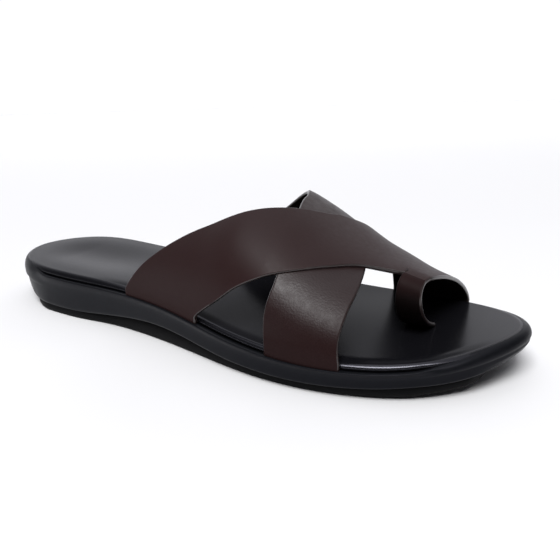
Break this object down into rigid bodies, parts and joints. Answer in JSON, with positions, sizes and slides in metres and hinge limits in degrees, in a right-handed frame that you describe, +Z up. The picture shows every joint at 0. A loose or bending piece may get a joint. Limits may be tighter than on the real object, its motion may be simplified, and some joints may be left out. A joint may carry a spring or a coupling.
{
  "type": "cross-strap toe-loop leather sandal",
  "caption": "Right slide sandal with wide leather straps crossing over the instep, a toe loop, a rolled insole and a low moulded sole.",
  "frame": {"origin": "centre of the sandal's outline on the floor", "axes": "+X towards the toe, +Y towards the inner side of the foot, +Z up"},
  "size_m": [0.285, 0.0998, 0.0662],
  "materials": {
    "outsole_rubber": "matt black tread",
    "sole_foam": "satin black moulded polyurethane",
    "insole_leather": "smooth black coated leather",
    "upper_leather": "smooth dark brown semi-gloss leather"
  },
  "bodies": {
    "root": {"outsole": "outsole_rubber", "midsole": "sole_foam", "insole": "insole_leather", "upper": "upper_leather"}
  },
  "joints": []
}
